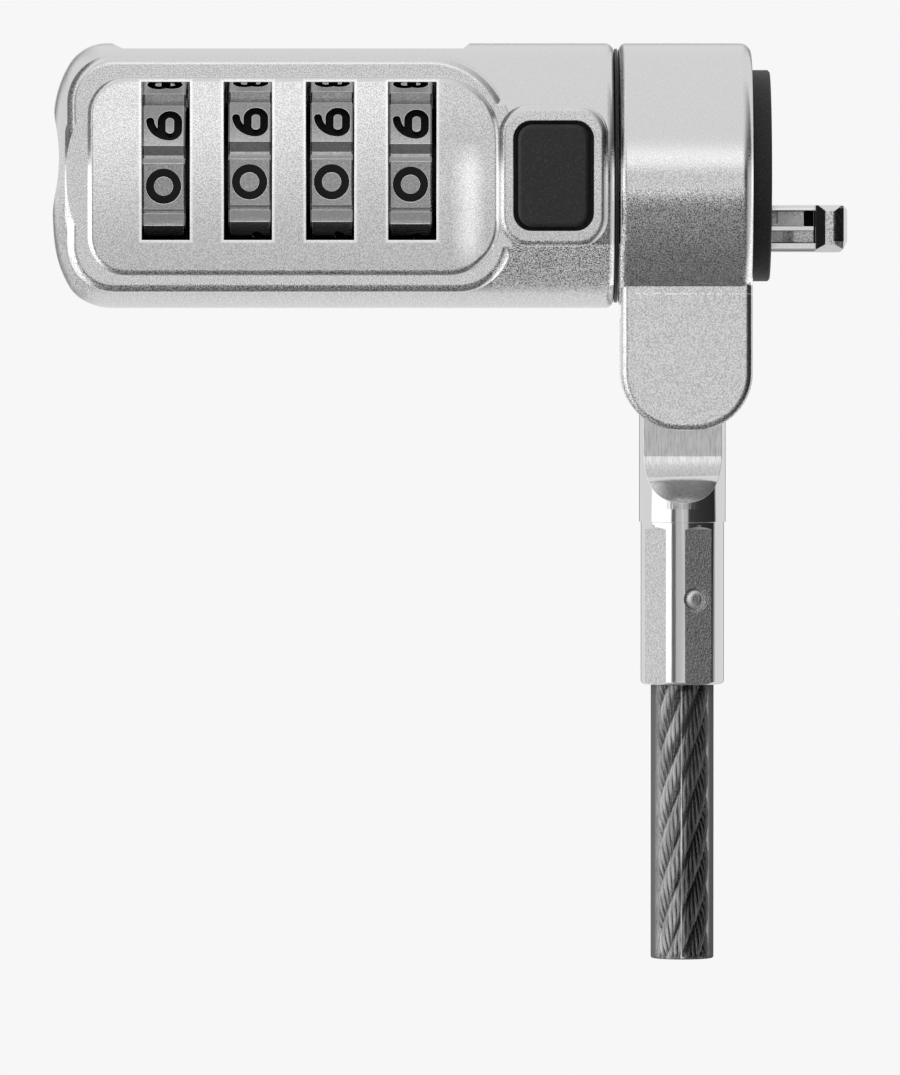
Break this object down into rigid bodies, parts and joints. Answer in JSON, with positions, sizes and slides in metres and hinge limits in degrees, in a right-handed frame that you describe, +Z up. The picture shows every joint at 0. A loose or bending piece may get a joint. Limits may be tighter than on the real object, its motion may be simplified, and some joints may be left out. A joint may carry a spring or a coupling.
{
  "type": "laptop cable lock",
  "caption": "Slim combination lock for laptops: numbered dials, push button, swivel collar, hooked tip and a crimped steel cable.",
  "frame": {"origin": "where the barrel axis meets the outer face of the rubber pad that rests on the laptop", "axes": "+X along the barrel axis towards the locking tip, +Z up, away from the hanging cable; the dials and the button face -Y"},
  "size_m": [0.0503, 0.0175, 0.0581],
  "materials": {
    "satin_nickel": "bead blasted zinc casting with satin nickel plating",
    "bright_nickel": "polished nickel plating",
    "dial_nickel": "polished nickel with black filled engraved numerals",
    "black_button": "soft matte moulding",
    "black_rubber": "fine grained rubber",
    "black_washer": "low friction plastic",
    "machined_steel": "turned and milled",
    "blacked_brass": "turned",
    "spring_steel": "drawn wire",
    "rope_steel": "galvanised stranded wire",
    "cable_jacket": "smoke translucent vinyl"
  },
  "bodies": {
    "barrel": {"barrel_shell": "satin_nickel", "nose_hub": "machined_steel", "hub_pins": "machined_steel", "swivel_washer": "black_washer", "collar_retainer": "machined_steel", "retainer_screws": "machined_steel", "face_pad": "black_rubber", "t_bar": "bright_nickel", "t_bar_pin": "machined_steel", "dial_spacers": "blacked_brass", "end_bush": "blacked_brass", "end_plate": "blacked_brass", "detent_comb": "spring_steel", "comb_rivets": "machined_steel", "carriage_spring": "spring_steel"},
    "button": {"button_cap": "black_button", "button_plunger": "machined_steel"},
    "carriage": {"carriage": "machined_steel", "combination_spindle": "machined_steel", "lock_slider": "satin_nickel", "lock_blade": "spring_steel", "slider_pin": "machined_steel"},
    "dial_set_1": {"dial_1": "dial_nickel", "tumbler_1": "blacked_brass"},
    "dial_set_2": {"dial_2": "dial_nickel", "tumbler_2": "blacked_brass"},
    "dial_set_3": {"dial_3": "dial_nickel", "tumbler_3": "blacked_brass"},
    "dial_set_4": {"dial_4": "dial_nickel", "tumbler_4": "blacked_brass"},
    "reset": {"reset_screw": "bright_nickel"},
    "collar": {"swivel_collar": "satin_nickel", "clevis_pin": "bright_nickel"},
    "cable": {"cable_ferrule": "bright_nickel", "ferrule_pin": "bright_nickel", "wire_rope": "rope_steel", "cable_jacket": "cable_jacket"}
  },
  "joints": [
    {"name": "dial_1_spin", "type": "hinge", "parent": "barrel", "child": "dial_set_1", "pos_m": [-0.0381, 0, 0], "axis": [1, 0, 0], "continuous": true},
    {"name": "dial_2_spin", "type": "hinge", "parent": "barrel", "child": "dial_set_2", "pos_m": [-0.03294, 0, 0], "axis": [1, 0, 0], "continuous": true},
    {"name": "dial_3_spin", "type": "hinge", "parent": "barrel", "child": "dial_set_3", "pos_m": [-0.02778, 0, 0], "axis": [1, 0, 0], "continuous": true},
    {"name": "dial_4_spin", "type": "hinge", "parent": "barrel", "child": "dial_set_4", "pos_m": [-0.02262, 0, 0], "axis": [1, 0, 0], "continuous": true},
    {"name": "button_press", "type": "slide", "parent": "barrel", "child": "button", "axis": [0, 1, 0], "range_m": [0, 0.0016]},
    {"name": "carriage_slide", "type": "slide", "parent": "barrel", "child": "carriage", "axis": [-1, 0, 0], "range_m": [0, 0.0016], "deforming": ["carriage_spring"]},
    {"name": "reset_turn", "type": "hinge", "parent": "barrel", "child": "reset", "pos_m": [-0.0445, 0, 0], "axis": [1, 0, 0], "range_deg": [0, 90]},
    {"name": "collar_swivel", "type": "hinge", "parent": "barrel", "child": "collar", "pos_m": [-0.0055, 0, 0], "axis": [1, 0, 0], "continuous": true},
    {"name": "cable_pivot", "type": "hinge", "parent": "collar", "child": "cable", "pos_m": [-0.0055, 0, -0.01194], "axis": [0, 1, 0], "range_deg": [-90, 90]}
  ],
  "couplings": [
    {"joint": "carriage_slide", "follows": "button_press", "ratio": 1}
  ]
}
